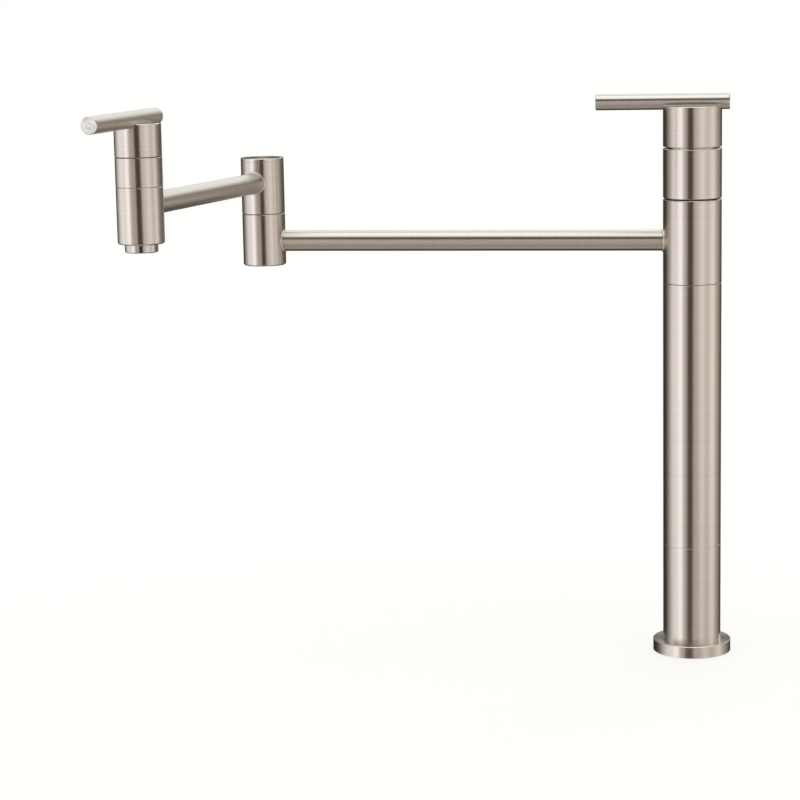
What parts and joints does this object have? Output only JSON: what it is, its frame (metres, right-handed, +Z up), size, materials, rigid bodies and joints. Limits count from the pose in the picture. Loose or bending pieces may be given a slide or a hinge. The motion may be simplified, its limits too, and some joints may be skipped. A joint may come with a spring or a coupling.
{
  "type": "deck mount pot filler",
  "caption": "Tall kitchen tap with an upright column, a swivelling two-piece arm and a quarter-turn lever valve at each end.",
  "frame": {"origin": "centre of the foot's underside, on the deck", "axes": "+Z up along the column; at rest the lower arm runs from the column along -X and the upper arm turns towards -Y"},
  "size_m": [0.4249, 0.3116, 0.5028],
  "materials": {
    "nickel": "brushed nickel, fine satin lines",
    "rubber": "black rubber",
    "plastic": "dark bearing plastic",
    "brass": "machined brass",
    "steel": "plain stainless steel",
    "ceramic": "lapped white ceramic",
    "chrome": "bright nickel ring"
  },
  "bodies": {
    "column": {"base_flange": "nickel", "deck_gasket": "rubber", "column_base": "nickel", "base_coupler": "brass", "column_tube": "nickel", "mounting_shank": "brass", "deck_seal": "rubber", "clamp_washer": "steel", "lock_nut": "brass", "riser_tube": "steel", "riser_seals": "rubber", "swivel_spindle": "brass", "swivel_seals": "rubber", "swivel_bearings": "plastic", "lower_thrust_washer": "plastic", "upper_thrust_washer": "plastic", "valve_body": "brass", "valve_sleeve": "nickel", "inlet_cartridge": "brass", "inlet_seat_seal": "rubber", "inlet_fixed_disc": "ceramic"},
    "inlet_handle": {"inlet_hub": "nickel", "inlet_lever": "nickel", "inlet_lever_screws": "steel", "inlet_set_screw": "steel", "inlet_stem": "brass", "inlet_stem_seals": "rubber", "inlet_stem_clip": "steel", "inlet_moving_disc": "ceramic"},
    "lower_arm": {"swivel_collar": "nickel", "lower_arm_tube": "nickel", "elbow_lower": "nickel", "elbow_spindle": "brass", "elbow_seals": "rubber", "elbow_bearing": "plastic", "elbow_thrust_washer": "plastic", "elbow_retainer": "steel", "elbow_screw": "steel"},
    "upper_arm": {"elbow_upper": "nickel", "elbow_cap": "nickel", "upper_arm_tube": "nickel", "outlet_body": "nickel", "outlet_sleeve": "nickel", "outlet_cartridge": "brass", "outlet_seat_seal": "rubber", "outlet_fixed_disc": "ceramic", "aerator_housing": "chrome", "aerator_screen": "plastic", "aerator_washer": "rubber"},
    "outlet_handle": {"outlet_hub": "nickel", "outlet_lever": "nickel", "outlet_lever_screws": "steel", "outlet_set_screw": "steel", "outlet_stem": "brass", "outlet_stem_seals": "rubber", "outlet_stem_clip": "steel", "outlet_moving_disc": "ceramic"}
  },
  "joints": [
    {"name": "inlet_valve", "type": "hinge", "parent": "column", "child": "inlet_handle", "pos_m": [0, 0, 0.4], "axis": [0, 0, 1], "range_deg": [0, 90]},
    {"name": "column_swivel", "type": "hinge", "parent": "column", "child": "lower_arm", "pos_m": [0, 0, 0.3213], "axis": [0, 0, 1], "continuous": true},
    {"name": "elbow_swivel", "type": "hinge", "parent": "lower_arm", "child": "upper_arm", "pos_m": [-0.3337, 0, 0.3675], "axis": [0, 0, 1], "range_deg": [-250, 95]},
    {"name": "outlet_valve", "type": "hinge", "parent": "upper_arm", "child": "outlet_handle", "pos_m": [-0.37765, -0.20075, 0.41], "axis": [0, 0, 1], "range_deg": [0, 90]}
  ]
}
